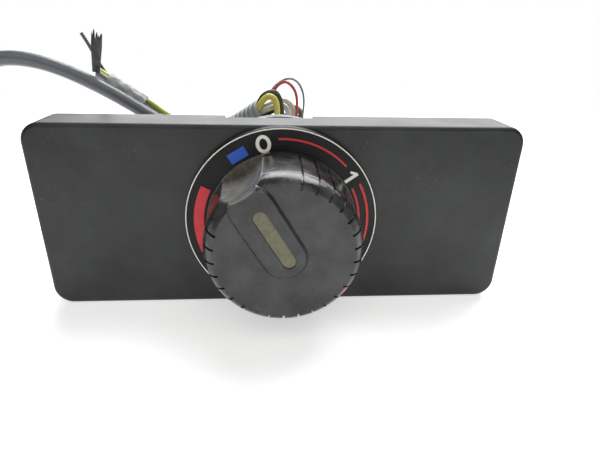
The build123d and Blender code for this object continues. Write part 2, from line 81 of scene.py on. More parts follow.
def add_node(material, kind, inputs=None, **settings):
    """Add a node with its settings; an input is a value, or another node's output to link."""
    tree = material.node_tree
    node = tree.nodes.new(kind)
    for name, value in settings.items():
        setattr(node, name, value)
    for name, value in (inputs or {}).items():
        if isinstance(value, bpy.types.NodeSocket):
            tree.links.new(value, node.inputs[name])
        else:
            node.inputs[name].default_value = value
    return node


def colour_property(name, default, description):
    """A colour that a user can change, from an sRGB hex default."""
    return FloatVectorProperty(
        name=name, description=description, default=linear(default), size=3, min=0, max=1, subtype="COLOR"
    )


def length_property(name, default, description):
    """A length that a user can change, in metres."""
    return FloatProperty(
        name=name, description=description, default=default, min=0, precision=5,
        subtype="DISTANCE", unit="LENGTH",
    )


def angle_property(name, default, description):
    """An angle that a user can change, from a default in degrees."""
    return FloatProperty(
        name=name, description=description, default=math.radians(default), subtype="ANGLE", unit="ROTATION"
    )


def power_property(name, default, description):
    """A light's power that a user can change, in watts."""
    return FloatProperty(
        name=name, description=description, default=default, min=0, subtype="POWER", unit="POWER"
    )


class SelectorColours(bpy.types.PropertyGroup):
    """Colours of the mouldings, inks and wires."""

    panel: colour_property("Panel", "#131516", "Front panel's ABS")
    dial: colour_property("Dial", "#0b0c0d", "Dial plate's matt ABS")
    knob: colour_property("Knob", "#171918", "Knob's moulded ABS")
    cream_ink: colour_property("Cream ink", "#f4f0e2", "Dial ring and figures")
    red_ink: colour_property("Red ink", "#d22d34", "Heat wedge and arcs")
    blue_ink: colour_property("Blue ink", "#2a58c4", "Cold mark")
    window: colour_property("Window", "#6f6c47", "Aged acrylic of the knob's window")
    housing: colour_property("Housing", "#7c8185", "Grey nylon of the switch body")
    sleeve: colour_property("Sleeve", "#8b8f90", "Corrugated conduit")
    sheath: colour_property("Cable sheath", "#5a5e62", "Loom's PVC sheath")
    tape: colour_property("Tape", "#6b6f72", "Cloth tape on the loom")
    crinkle: colour_property("Crinkled tape", "#c4c6c4", "Pale tape over the branch")
    torn: colour_property("Torn tape", "#3c3f42", "Torn end of tape")
    plug: colour_property("Plug", "#d8d4c8", "Natural nylon of the plug and receptacles")
    yellow: colour_property("Yellow lead", "#d9cb5e", "PVC of the yellow lead")
    green: colour_property("Green lead", "#39452f", "PVC of the dark green lead")
    lime: colour_property("Lime lead", "#b9c04a", "PVC of the yellow-green branch lead")
    white: colour_property("White lead", "#cfccbe", "PVC of the white leads")
    brown: colour_property("Brown lead", "#553a2f", "PVC of the brown lead")
    black: colour_property("Black lead", "#25262a", "PVC of the black lead")
    red: colour_property("Red lead", "#c4494e", "PVC of the thin red lead")
    grey: colour_property("Grey lead", "#858c86", "PVC of the thin grey lead")


class SelectorSizes(bpy.types.PropertyGroup):
    """Sizes of the wiring and of what is on it."""

    cable_radius: length_property("Cable radius", 0.0021, "Radius of the loom's sheath")
    cable_length: length_property("Cable length", 0.5, "Whole length of the loom from its sleeve to its plug")
    seam_height: length_property("Seam height", 0.00016, "Height of the seam along the sheath")
    sleeve_radius: length_property("Sleeve radius", 0.0039, "Outside radius of the conduit's ribs")
    sleeve_wall: length_property("Sleeve wall", 0.0005, "Wall of the conduit")
    rib_pitch: length_property("Rib pitch", 0.0017, "Spacing of the conduit's ribs")
    rib_depth: length_property("Rib depth", 0.00045, "Depth between the conduit's ribs")
    strand_radius: length_property("Strand radius", 0.00075, "Radius of each lead in the branch")
    twist_pitch: length_property("Twist pitch", 0.1, "Length of one turn of the branch's leads")
    tape_thickness: length_property("Tape thickness", 0.00022, "Thickness of one turn of cloth tape")
    tie_thickness: length_property("Tie thickness", 0.0011, "Thickness of the cable tie's strap")


class SelectorStage(bpy.types.PropertyGroup):
    """Camera, lights and floor."""

    azimuth: angle_property("Azimuth", -4.61, "Camera's turn round the knob")
    elevation: angle_property("Elevation", 24.0, "Camera's height angle")
    roll: angle_property("Roll", 1.51, "Camera's roll")
    distance: length_property("Distance", 0.11081, "Camera to the point it looks at")
    lens: FloatProperty(
        name="Lens", description="Focal length on a 36 mm sensor", default=26.95, min=1,
        subtype="DISTANCE_CAMERA",
    )
    floor_size: length_property("Floor size", 8.0, "Side of the square floor")
    fade_from: length_property("Fade from", 0.14, "Distance at which the table starts to turn white")
    fade_to: length_property("Fade to", 0.42, "Distance at which the table is plain white")
    floor_glow: FloatProperty(
        name="Floor glow", description="Light the table gives of itself", default=0.5, min=0
    )
    fill: power_property("Fill light", 5.0, "Power of the panel above the camera")
    overhead: power_property("Overhead light", 11.0, "Power of the overhead panel")
    back: power_property("Back light", 13.0, "Power of the tall panel behind")
    ambient: FloatProperty(
        name="Ambient", description="Brightness of the room round the object", default=0.22, min=0
    )


# ---- materials -----------------------------------------------------------------


def new_material(name):
    """A material with an empty tree."""
    material = bpy.data.materials.new(name)
    material.use_nodes = True
    material.node_tree.nodes.clear()
    return material


def place(material):
    """The point on the object, in metres."""
    return add_node(material, "ShaderNodeTexCoord").outputs["Object"]


def spread(material, where, size_mm, detail=3.0, rough=0.5, warp=0.0):
    """Cloudy noise whose patches are about size_mm across."""
    inputs = {"Vector": where, "Scale": 1 / (size_mm * MM), "Detail": detail}
    inputs.update({"Roughness": rough, "Distortion": warp})
    return add_node(material, "ShaderNodeTexNoise", inputs).outputs["Fac"]


def between(material, value, low, high, to_low=0.0, to_high=1.0):
    """A value as a share of the way from low to high, held at both ends."""
    inputs = {"Value": value, "From Min": low, "From Max": high, "To Min": to_low, "To Max": to_high}
    return add_node(material, "ShaderNodeMapRange", inputs).outputs["Result"]


def vector_math(material, kind, where, other=None):
    """A vector operation on a point, and on another one if it is given."""
    inputs = {0: where} if other is None else {0: where, 1: other}
    return add_node(material, "ShaderNodeVectorMath", inputs, operation=kind)


def mixed(material, share, colour, other):
    """Colour turns into other by share."""
    inputs = {
        0: share,
        6: colour if isinstance(colour, bpy.types.NodeSocket) else (*colour, 1),
        7: other if isinstance(other, bpy.types.NodeSocket) else (*other, 1),
    }
    return add_node(material, "ShaderNodeMix", inputs, data_type="RGBA").outputs[2]


def times(material, *values):
    """The product of several values."""
    result = values[0]
    for value in values[1:]:
        result = add_node(material, "ShaderNodeMath", {0: result, 1: value}, operation="MULTIPLY").outputs[0]
    return result


def raised(material, height, distance_mm, strength=1.0, under=None):
    """A bump of that height, over another one if it is given."""
    inputs = {"Height": height, "Distance": distance_mm * MM, "Strength": strength}
    if under is not None:
        inputs["Normal"] = under
    return add_node(material, "ShaderNodeBump", inputs).outputs["Normal"]


def shade(material, inputs):
    """Close the tree with one Principled shader."""
    shader = add_node(material, "ShaderNodeBsdfPrincipled", inputs)
    add_node(material, "ShaderNodeOutputMaterial", {"Surface": shader.outputs[0]})
    return material


def darker(colour, share):
    """A colour with its light cut to a share."""
    return tuple(channel * share for channel in colour)


def paler(colour, share):
    """A colour moved that share of the way to white."""
    return tuple(channel + (1 - channel) * share for channel in colour)


def moulded(name, colour, roughness, grain_mm, grain_depth_mm, dust=0.1, ior=1.46):
    """Injection-moulded plastic: a spark-eroded grain, cloudy handling marks and a little dust."""
    material = new_material(name)
    where = place(material)
    clouds = spread(material, where, 14, 4)
    tint = mixed(material, between(material, clouds, 0.35, 0.7), darker(colour, 0.82), paler(colour, 0.02))
    specks = between(material, spread(material, where, 0.9, 2, 0.7), 0.66, 0.78)
    film = between(material, spread(material, where, 22, 5, 0.6), 0.45, 0.75)
    tint = mixed(material, times(material, specks, film, dust * 4), tint, linear("#8f8c84"))
    rough = between(material, clouds, 0.3, 0.7, roughness - 0.06, roughness + 0.08)
    grain = spread(material, where, grain_mm, 2)
    normal = raised(material, grain, grain_depth_mm)
    return shade(material, {"Base Color": tint, "Roughness": rough, "Normal": normal, "IOR": ior})


def ink(name, colour):
    """Pad-printed ink: flat and thin, with pinholes where the plastic shows through."""
    material = new_material(name)
    where = place(material)
    pinholes = between(material, spread(material, where, 0.35, 3, 0.7), 0.7, 0.76)
    cloud = between(material, spread(material, where, 3, 3), 0.3, 0.8)
    tint = mixed(material, cloud, colour, darker(colour, 0.84))
    tint = mixed(material, pinholes, tint, linear("#2a2a29"))
    normal = raised(material, spread(material, where, 0.4, 2), 0.01)
    return shade(material, {"Base Color": tint, "Roughness": 0.5, "Normal": normal, "IOR": 1.5})


def metal(name, colour, roughness, scratch_mm, tarnish):
    """Bare or plated metal: fine turning and handling scratches, and dull tarnished patches."""
    material = new_material(name)
    where = place(material)
    dull = between(material, spread(material, where, 2.5, 4, 0.6), 0.4, 0.7)
    tint = mixed(material, times(material, dull, tarnish), colour, darker(colour, 0.45))
    rough = between(material, dull, 0, 1, roughness, roughness + 0.22)
    scratches = spread(material, where, scratch_mm, 2, 0.6, 1.2)
    normal = raised(material, scratches, 0.012)
    return shade(material, {"Base Color": tint, "Metallic": 1.0, "Roughness": rough, "Normal": normal})


def pvc(name, colour, grime=0.35):
    """Extruded PVC insulation: smooth and slightly waxy, with handling grime in streaks."""
    material = new_material(name)
    where = place(material)
    smears = between(material, spread(material, where, 4, 4, 0.65, 0.6), 0.45, 0.75)
    tint = mixed(material, times(material, smears, grime), colour, linear("#4a453c"))
    rough = between(material, smears, 0, 1, 0.34, 0.55)
    normal = raised(material, spread(material, where, 0.5, 2), 0.02)
    return shade(material, {"Base Color": tint, "Roughness": rough, "Normal": normal, "IOR": 1.53})


def cloth(name, colour, thread_mm=0.45):
    """Woven cloth tape: two sets of threads on the tape's own map, fuzzy and soaked with dust."""
    material = new_material(name)
    along = add_node(material, "ShaderNodeUVMap", uv_map="UVMap").outputs[0]
    where = place(material)
    weave = []
    for direction in ("X", "Y"):
        inputs = {"Vector": along, "Scale": 2 * math.pi / (20 * thread_mm * MM), "Distortion": 0.4}
        threads = add_node(material, "ShaderNodeTexWave", inputs, bands_direction=direction)
        weave.append(threads.outputs["Fac"])
    crossing = times(material, *weave)
    patches = between(material, spread(material, where, 3, 4, 0.6), 0.35, 0.7)
    tint = mixed(material, patches, darker(colour, 0.72), paler(colour, 0.12))
    tint = mixed(material, times(material, crossing, 0.5), tint, darker(colour, 0.4))
    normal = raised(material, crossing, 0.08, 0.7)
    inputs = {"Base Color": tint, "Roughness": 0.82, "Normal": normal}
    inputs.update({"Sheen Weight": 0.25, "Sheen Roughness": 0.5})
    return shade(material, inputs)


SCOOP_AXIS = (-0.01465, 0.0, 0.02322)
SCOOP_R = 12.0 * MM


def knob_abs(name, colour):
    """Handled ABS: polished on the shoulder by fingers, greasy dirt at the pointer."""
    material = new_material(name)
    where = place(material)
    flat = vector_math(material, "MULTIPLY", where, (1, 0, 1)).outputs[0]
    radius = vector_math(material, "LENGTH", flat).outputs["Value"]
    clouds = spread(material, where, 5, 4, 0.6)
    tint = mixed(material, between(material, clouds, 0.35, 0.7), darker(colour, 0.75), paler(colour, 0.035))
    # painted reflection: the scoop's own wall turned pale grey as if it caught the light above, picked out by
    # its distance from the scoop's axis
    from_axis = vector_math(material, "DISTANCE", flat, SCOOP_AXIS).outputs["Value"]
    scoop_painted_reflection = between(material, from_axis, SCOOP_R + 0.35 * MM, SCOOP_R + 0.1 * MM)
    reflection_patches = between(material, spread(material, where, 2.4, 4, 0.6), 0.3, 0.7, 0.45, 0.9)
    tint = mixed(material, times(material, scoop_painted_reflection, reflection_patches), tint, linear("#7d7c79"))
    # the flange in front of the finger scoop, where dust and skin oil gather
    scoop = (-0.0088, -0.0131, 0.0146)
    near_scoop = vector_math(material, "DISTANCE", where, scoop).outputs["Value"]
    blotch = spread(material, where, 1.6, 4, 0.7)
    dirt = times(
        material, between(material, near_scoop, 0.0075, 0.0035), between(material, blotch, 0.3, 0.55)
    )
    tint = mixed(material, times(material, dirt, 0.75), tint, linear("#4a3f30"))
    # a scuff of red paint on the rim
    scuff_at = (0.0137, -0.0265, -0.0092)
    to_scuff = vector_math(material, "DISTANCE", where, scuff_at).outputs["Value"]
    scuff = times(
        material,
        between(material, to_scuff, 0.0026, 0.0012),
        between(material, spread(material, where, 0.8, 3), 0.42, 0.5),
    )
    tint = mixed(material, scuff, tint, linear("#b2364a"))
    grey_dust = between(material, spread(material, where, 0.7, 3, 0.7), 0.62, 0.75)
    tint = mixed(material, times(material, grey_dust, 0.25), tint, linear("#8c8a82"))
    polish = between(material, radius, 0.0148, 0.0156, 0.4, 0.22)
    uneven = between(material, clouds, 0.3, 0.7, -0.05, 0.08)
    rough = add_node(material, "ShaderNodeMath", {0: polish, 1: uneven}, operation="ADD").outputs[0]
    normal = raised(material, spread(material, where, 0.45, 3), 0.02)
    normal = raised(material, spread(material, where, 3.2, 3, 0.6), 0.12, 0.6, normal)
    return shade(material, {"Base Color": tint, "Roughness": rough, "Normal": normal, "IOR": 1.52})


def aged_acrylic(name, colour):
    """Clear acrylic gone olive with age: glossy, scratched, with dark streaks of dirt."""
    material = new_material(name)
    where = place(material)
    clouds = between(material, spread(material, where, 2.2, 3, 0.6, 0.8), 0.35, 0.7)
    tint = mixed(material, clouds, darker(colour, 0.55), colour)
    streaks = between(material, spread(material, where, 0.5, 4, 0.7), 0.6, 0.75)
    tint = mixed(material, times(material, streaks, 0.5), tint, linear("#3a362a"))
    normal = raised(material, spread(material, where, 0.8, 3), 0.03)
    inputs = {
        "Base Color": tint,
        "Roughness": between(material, clouds, 0, 1, 0.22, 0.42),
        "Normal": normal,
        "IOR": 1.49,
        "Transmission Weight": 0.15,
        "Coat Weight": 0.3,
        "Coat Roughness": 0.2,
    }
    return shade(material, inputs)


def lamp_glass(name):
    """Blown glass: clear, with a faint smoky film from the filament."""
    material = new_material(name)
    film = between(material, spread(material, place(material), 3, 3), 0.4, 0.8)
    tint = mixed(material, film, linear("#f2f5f2"), linear("#c9c8bc"))
    inputs = {"Base Color": tint, "Roughness": 0.04, "IOR": 1.5, "Transmission Weight": 0.9}
    return shade(material, inputs)


def phenolic(name):
    """Paper-phenolic board: brown, with the paper's fibres just showing under a resin gloss."""
    material = new_material(name)
    where = place(material)
    stretched = add_node(material, "ShaderNodeMapping", {"Vector": where, "Scale": (0.25, 1, 1)}).outputs[0]
    fibres = between(material, spread(material, stretched, 0.6, 4, 0.7), 0.35, 0.7)
    tint = mixed(material, fibres, linear("#6a4a2a"), linear("#8a6238"))
    return shade(material, {"Base Color": tint, "Roughness": 0.42, "Normal": raised(material, fibres, 0.015)})


# ---- making and placing ------------------------------------------------------------


def finish(material, *names):
    """Give CAD nodes their material."""
    for name in names:
        nodes[name].data.materials.clear()
        nodes[name].data.materials.append(material)


def clear_selection():
    """Nothing selected, nothing active."""
    bpy.ops.object.select_all(action="DESELECT")
    bpy.context.view_layer.objects.active = None


def nurbs(name, route, radius=0.0):
    """A smooth curve with a route's points, in millimetres, as its control points."""
    data = bpy.data.curves.new(name, "CURVE")
    data.dimensions = "3D"
    spline = data.splines.new("NURBS")
    spline.points.add(len(route) - 1)
    for point, here in zip(spline.points, route):
        point.co = (*(Vector(here) * MM), 1)
    spline.order_u = 3
    spline.use_endpoint_u = True
    spline.resolution_u = 10
    data.bevel_depth = radius
    data.bevel_resolution = 5
    data.use_fill_caps = True
    piece = bpy.data.objects.new(name, data)
    bpy.context.scene.collection.objects.link(piece)
    return piece


def centreline(route, step):
    """Points of a route's NURBS spline, evened out to about one step apart."""
    guide = nurbs("guide", route)
    bpy.context.view_layer.update()
    mesh = bpy.data.meshes.new_from_object(guide)
    raw = [v.co.copy() for v in mesh.vertices]
    bpy.data.objects.remove(guide)
    runs = [0.0]
    for a, b in zip(raw, raw[1:]):
        runs.append(runs[-1] + (b - a).length)
    count = max(2, round(runs[-1] / step))
    line = []
    index = 0
    for i in range(count + 1):
        goal = runs[-1] * i / count
        while index < len(runs) - 2 and runs[index + 1] < goal:
            index += 1
        share = (goal - runs[index]) / max(1e-9, runs[index + 1] - runs[index])
        line.append(raw[index].lerp(raw[index + 1], min(1.0, share)))
    return line


def side_frames(line):
    """For each point, its run along the line and two directions square to the line, without twist."""
    frames = []
    run = 0.0
    ahead = (line[1] - line[0]).normalized()
    side = Vector((0, 0, 1)).cross(ahead).normalized()
    for i, here in enumerate(line):
        after = line[min(i + 1, len(line) - 1)]
        before = line[max(i - 1, 0)]
        direction = (after - before).normalized()
        side = (ahead.rotation_difference(direction) @ side).normalized()
        ahead = direction
        if i:
            run += (here - before).length
        frames.append((here, run, side, direction.cross(side).normalized()))
    return frames


def tube(name, line, reach, sides=24, capped=True):
    """A mesh tube round a line; reach(run, turn) is its radius at a run along it and a turn round it."""
    shape = bmesh.new()
    uv = shape.loops.layers.uv.new("UVMap")
    frames = side_frames(line)
    rings = []
    for here, run, side, up in frames:
        ring = []
        for k in range(sides):
            turn = 2 * math.pi * k / sides
            outward = side * math.cos(turn) + up * math.sin(turn)
            ring.append(shape.verts.new(here + outward * reach(run, turn)))
        rings.append(ring)
    girth = 2 * math.pi * reach(0, 0)
    for i in range(len(rings) - 1):
        for k in range(sides):
            j = (k + 1) % sides
            face = shape.faces.new((rings[i][k], rings[i][j], rings[i + 1][j], rings[i + 1][k]))
            face.smooth = True
            corners = ((k, i), (k + 1, i), (k + 1, i + 1), (k, i + 1))
            for loop, (around, step) in zip(face.loops, corners):
                loop[uv].uv = (girth * around / sides, frames[step][1])
    if capped:
        shape.faces.new(reversed(rings[0]))
        shape.faces.new(rings[-1])
    bmesh.ops.recalc_face_normals(shape, faces=shape.faces)
    mesh = bpy.data.meshes.new(name)
    shape.to_mesh(mesh)
    shape.free()
    piece = bpy.data.objects.new(name, mesh)
    bpy.context.scene.collection.objects.link(piece)
    return piece


def apply(piece, kind, **settings):
    """Add a modifier with its settings and apply it."""
    clear_selection()
    piece.select_set(True)
    bpy.context.view_layer.objects.active = piece
    modifier = piece.modifiers.new(kind.title(), kind)
    for name, value in settings.items():
        setattr(modifier, name, value)
    bpy.ops.object.modifier_apply(modifier=modifier.name)


def dress(piece, material, body, slot, *replaced):
    """Give a new piece its material and its body, and hide the nodes it stands for; slot is not used."""
    piece.data.materials.clear()
    piece.data.materials.append(material)
    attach(piece, body)
    if replaced:
        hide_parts(*replaced)
    return piece


# ---- routes of the wiring, in millimetres -------------------------------------------

# name: colour, radius, and the route from the terminal into the sleeve's mouth
LEADS = {
    "lead_yellow": ("yellow", 0.9, [
        (0.0, 22.0, 15.0), (-0.2, 24.3, 15.0), (-0.3, 24.0, 18.3), (-0.6, 23.2, 23.5),
        (-2.8, 22.9, 25.0), (-5.0, 23.3, 22.9), (-6.0, 23.9, 20.9), (-7.0, 24.4, 20.0),
    ]),
    "lead_green": ("green", 0.75, [
        (-9.2, 22.0, 11.8), (-8.4, 25.6, 11.0), (-1.9, 27.4, 11.8), (1.3, 26.0, 15.3),
        (0.9, 25.2, 22.8), (-0.9, 25.2, 26.0), (-4.5, 25.3, 24.8), (-6.0, 25.6, 21.8), (-6.9, 26.1, 20.9),
    ]),
    "lead_white_front": ("white", 0.8, [
        (11.5, 22.0, -9.6), (11.2, 26.0, -8.8), (7.6, 29.4, 2.0), (3.5, 28.2, 12.4),
        (3.1, 27.2, 20.8), (0.6, 26.9, 21.8), (-2.4, 25.8, 20.9), (-4.7, 25.2, 19.9), (-6.0, 25.7, 19.0),
    ]),
    "lead_white_rear": ("white", 0.8, [
        (-11.5, 22.0, -9.6), (-11.0, 26.4, -9.0), (-4.5, 31.4, -2.0), (3.2, 31.2, 8.0),
        (5.1, 29.4, 15.5), (4.5, 29.0, 21.3), (1.6, 28.9, 23.0), (-1.9, 28.0, 22.1), (-4.4, 27.0, 20.6),
        (-5.6, 27.4, 19.8),
    ]),
    "lead_brown": ("brown", 0.8, [
        (9.2, 22.0, 11.8), (8.9, 25.2, 12.0), (6.9, 27.0, 16.1), (7.1, 29.4, 19.8),
        (4.7, 32.0, 20.4), (0.5, 31.0, 20.0), (-2.0, 28.0, 19.6), (-4.1, 27.0, 18.4),
    ]),
    "lead_black": ("black", 0.8, [
        (15.0, 22.0, 0.0), (14.8, 26.0, 1.0), (11.4, 28.6, 10.4), (8.6, 31.0, 16.2),
        (4.3, 33.4, 17.6), (0.0, 31.0, 17.4), (-2.4, 26.2, 17.6), (-4.3, 25.0, 17.4),
    ]),
    "lead_lamp_red": ("red", 0.4, [
        (1.9, 18.6, 2.2), (3.0, 23.4, 3.6), (4.7, 24.6, 11.7), (5.6, 24.7, 19.9),
        (5.3, 24.5, 25.8), (2.4, 24.3, 28.9), (0.0, 25.2, 27.8), (-1.7, 26.8, 25.2),
        (-4.6, 27.4, 22.6), (-6.3, 27.2, 21.0),
    ]),
    "lead_lamp_grey": ("grey", 0.3, [
        (1.9, 18.6, -2.2), (4.4, 23.6, -1.0), (6.8, 24.6, 8.0), (7.0, 24.6, 17.4),
        (7.7, 24.6, 23.8), (6.2, 24.8, 28.2), (3.2, 25.2, 29.8), (-0.5, 26.4, 27.8), (-2.8, 27.4, 24.6),
        (-5.0, 27.9, 22.0), (-6.2, 27.6, 20.6),
    ]),
}
SLEEVE_ROUTE = [(-4.3, 25.0, 20.1), (-11.2, 28.0, 15.0), (-18.6, 30.4, 11.3), (-26.3, 31.4, 10.6)]
CABLE_ROUTE = [
    (-25.4, 31.3, 10.7), (-33.2, 31.7, 13.2), (-41.0, 31.4, 18.5), (-49.6, 31.0, 24.1),
    (-58.9, 30.6, 29.0), (-68.1, 30.3, 32.5), (-77.6, 30.0, 33.5), (-86.3, 29.8, 30.5),
    (-93.0, 29.5, 24.1), (-97.0, 29.2, 15.6), (-99.2, 28.9, 6.4), (-101.0, 28.5, -2.5),
    (-104.6, 28.0, -9.6), (-110.6, 27.5, -15.0), (-116.5, 26.3, -16.2),
]
COIL_CENTRE = (-121.0, 8.0)
COIL_START_R = 16.4
COIL_PITCH = 4.5
COIL_FIRST_DEG = 95
COIL_LAST_DEG = 975
COIL_STEP_DEG = 20
LANE_Z = FLOOR_Z / MM + 2.2
COIL_ENTRY_HEIGHTS = (3.8, 1.9, 0.3)
TAIL_ROUTE = [(-116.6, -20.0, LANE_Z), (-109.2, -20.6, LANE_Z), (-101.9, -21.3, LANE_Z)]
BRANCH_ROUTE = [
    (-27.6, 35.6, 12.3), (-34.8, 35.4, 16.3), (-41.2, 34.8, 21.0), (-47.5, 34.2, 25.2), (-53.6, 33.8, 29.4),
]
STRAY_ROUTE = [(-51.5, 36.1, 28.2), (-53.6, 36.0, 31.9), (-55.1, 35.8, 36.1), (-57.1, 35.6, 40.0)]


def coil_route():
    """The coil's turns, from where the cable drops inside them out to the plug's side."""
    points = []
    steps = (COIL_LAST_DEG - COIL_FIRST_DEG) // COIL_STEP_DEG
    # the spline runs just inside its control points, by the cosine of half a step
    outward = 1 / math.cos(math.radians(COIL_STEP_DEG / 2))
    for i in range(steps + 1):
        deg = COIL_FIRST_DEG + COIL_STEP_DEG * i
        radius = (COIL_START_R + COIL_PITCH * (deg - 90) / 360) * outward
        turn = math.radians(deg)
        lift = COIL_ENTRY_HEIGHTS[i] if i < len(COIL_ENTRY_HEIGHTS) else 0
        x = COIL_CENTRE[0] + radius * math.cos(turn)
        y = COIL_CENTRE[1] + radius * math.sin(turn)
        points.append((x, y, LANE_Z + lift))
    return points


# ---- operators ----------------------------------------------------------------------


class SelectorOperator:
    """What every step shares: it can be undone."""

    bl_options = {"REGISTER", "UNDO"}


class SELECTOR_OT_stage(SelectorOperator, bpy.types.Operator):
    """Pale floor, white room, two soft lights and the camera"""

    bl_idname = "selector.stage"
    bl_label = "Stage"

    def execute(self, context):
        stage = context.scene.selector_stage
        clear_selection()
        context.scene.view_settings.view_transform = "Standard"
        bpy.ops.mesh.primitive_plane_add(size=stage.floor_size, location=(0, 0, FLOOR_Z))
        floor = context.object
        floor.name = "floor"
        material = new_material("White melamine table, satin")
        where = place(material)
        cloud = between(material, spread(material, where, 300, 2), 0.3, 0.7)
        tint = mixed(material, cloud, linear("#eeeeec"), linear("#f5f5f3"))
        grain = raised(material, spread(material, where, 2, 2), 0.01)
        finish_of = {"Base Color": tint, "Roughness": 0.45, "Normal": grain, "Emission Color": (1, 1, 1, 1)}
        finish_of["Emission Strength"] = stage.floor_glow
        near = add_node(material, "ShaderNodeBsdfPrincipled", finish_of)
        # the table runs into the white room without an edge
        far = add_node(material, "ShaderNodeEmission", {"Color": (1, 1, 1, 1), "Strength": 1.0})
        away = vector_math(material, "LENGTH", where).outputs["Value"]
        share = between(material, away, stage.fade_from, stage.fade_to)
        surface = add_node(material, "ShaderNodeMixShader", {0: share, 1: near.outputs[0], 2: far.outputs[0]})
        add_node(material, "ShaderNodeOutputMaterial", {"Surface": surface.outputs[0]})
        floor.data.materials.append(material)
        self.room(context, stage)
        cool = (0.96, 0.98, 1.0)
        self.light(context, "overhead panel", stage.overhead, (0.85, 0.5), (0.16, 0.4, 0.72), (0, 0, 0), cool)
        self.light(context, "back panel", stage.back, (2.2, 0.5), (0.25, 1.15, 0.52), (0, 0, 0.02), (1, 1, 1))
        self.light(context, "fill panel", stage.fill, (1.4, 1.0), (0.0, -0.75, 0.85), (0, 0, 0), (1, 1, 1))
        self.camera(context, stage)
        return {"FINISHED"}

    def room(self, context, stage):
        """White where the camera looks past the floor, and dimmer as a light on the object."""
        world = bpy.data.worlds.new("white room")
        context.scene.world = world
        world.use_nodes = True
        world.node_tree.nodes.clear()
        seen = add_node(world, "ShaderNodeBackground", {"Color": (1, 1, 1, 1), "Strength": 1.0})
        around = add_node(world, "ShaderNodeBackground", {"Color": (1, 1, 1, 1), "Strength": stage.ambient})
        path = add_node(world, "ShaderNodeLightPath")
        choice = add_node(
            world,
            "ShaderNodeMixShader",
            {0: path.outputs["Is Camera Ray"], 1: around.outputs[0], 2: seen.outputs[0]},
        )
        add_node(world, "ShaderNodeOutputWorld", {"Surface": choice.outputs[0]})

    def light(self, context, name, power, size, at, to, colour):
        """One rectangular soft light, aimed at a point."""
        data = bpy.data.lights.new(name, "AREA")
        data.shape = "RECTANGLE"
        data.size, data.size_y = size
        data.energy = power
        data.color = colour
        lamp = bpy.data.objects.new(name, data)
        lamp.location = at
        lamp.rotation_euler = (Vector(to) - Vector(at)).to_track_quat("-Z", "Y").to_euler()
        lamp.visible_camera = False
        context.scene.collection.objects.link(lamp)

    def camera(self, context, stage):
        """The camera looks at a point on the dial, close to and from a little above."""
        data = bpy.data.cameras.new("camera")
        data.sensor_width = 36
        data.lens = stage.lens
        data.clip_start = 0.005
        data.clip_end = 30
        back = Vector((
            math.sin(stage.azimuth) * math.cos(stage.elevation),
            -math.cos(stage.azimuth) * math.cos(stage.elevation),
            math.sin(stage.elevation),
        ))
        right = (-back).cross(Vector((0, 0, 1))).normalized()
        up = right.cross(-back)
        rolled_right = right * math.cos(stage.roll) + up * math.sin(stage.roll)
        rolled_up = up * math.cos(stage.roll) - right * math.sin(stage.roll)
        target = Vector((4.53, -9.5, -1.48)) * MM
        turn = Matrix((rolled_right, rolled_up, back)).transposed().to_4x4()
        camera = bpy.data.objects.new("camera", data)
        camera.matrix_world = Matrix.Translation(target + back * stage.distance) @ turn
        context.scene.collection.objects.link(camera)
        context.scene.camera = camera


class SELECTOR_OT_front_panel(SelectorOperator, bpy.types.Operator):
    """Satin ABS on the front panel"""

    bl_idname = "selector.front_panel"
    bl_label = "Front panel"

    def execute(self, context):
        colour = context.scene.selector_colours.panel
        finish(moulded("Satin ABS, spark-eroded grain", colour, 0.42, 0.45, 0.025, 0.12), "front_panel")
        return {"FINISHED"}


class SELECTOR_OT_dial(SelectorOperator, bpy.types.Operator):
    """Matt dial plate and the marks printed on it"""

    bl_idname = "selector.dial"
    bl_label = "Dial"

    def execute(self, context):
        colours = context.scene.selector_colours
        finish(moulded("Matt ABS, fine grain", colours.dial, 0.6, 0.5, 0.02, 0.15, 1.38), "dial_plate")
        finish(ink("Cream pad-printing ink", colours.cream_ink), "dial_ring_and_figures")
        finish(ink("Red pad-printing ink", colours.red_ink), "dial_red_marks")
        finish(ink("Blue pad-printing ink", colours.blue_ink), "dial_blue_mark")
        return {"FINISHED"}


class SELECTOR_OT_knob(SelectorOperator, bpy.types.Operator):
    """Handled ABS on the knob, and its aged window"""

    bl_idname = "selector.knob"
    bl_label = "Knob"

    def execute(self, context):
        colours = context.scene.selector_colours
        finish(knob_abs("Handled ABS, polished by fingers", colours.knob), "selector_knob")
        finish(aged_acrylic("Aged acrylic, yellowed", colours.window), "knob_window", "light_pipe")
        return {"FINISHED"}


class SELECTOR_OT_works(SelectorOperator, bpy.types.Operator):
    """Housing, cover, spindle, contacts and lamp"""

    bl_idname = "selector.works"
    bl_label = "Switch works"

    def execute(self, context):
        colours = context.scene.selector_colours
        nylon = moulded("Grey nylon, as moulded", colours.housing, 0.45, 0.8, 0.03, 0.2, 1.53)
        finish(nylon, "switch_housing", "rear_cover", "contact_rotor")
        zinc = metal("Zinc-plated steel", linear("#a9adb0"), 0.3, 0.25, 0.4)
        finish(zinc, "spindle", "thrust_washer", "dial_screws", "cover_screws", "detent_ball")
        spring_steel = metal("Drawn spring steel", linear("#85888b"), 0.28, 0.2, 0.5)
        finish(spring_steel, "spindle_circlip", "detent_spring")
        brass = metal("Rolled brass strip", linear("#c2a04e"), 0.26, 0.3, 0.6)
        finish(brass, "wiper_contacts", "spade_terminals", "spindle_bush", "plug_terminals")
        finish(phenolic("Paper-phenolic board"), "track_board")
        finish(moulded("Screened carbon ink", linear("#1c1c1d"), 0.55, 0.3, 0.01), "contact_tracks")
        natural = moulded("Natural nylon, as moulded", colours.plug, 0.4, 0.9, 0.03, 0.3, 1.53)
        finish(natural, "lamp_holder", "wire_receptacles", "plug_housing")
        finish(lamp_glass("Blown lamp glass"), "lamp_bulb")
        return {"FINISHED"}


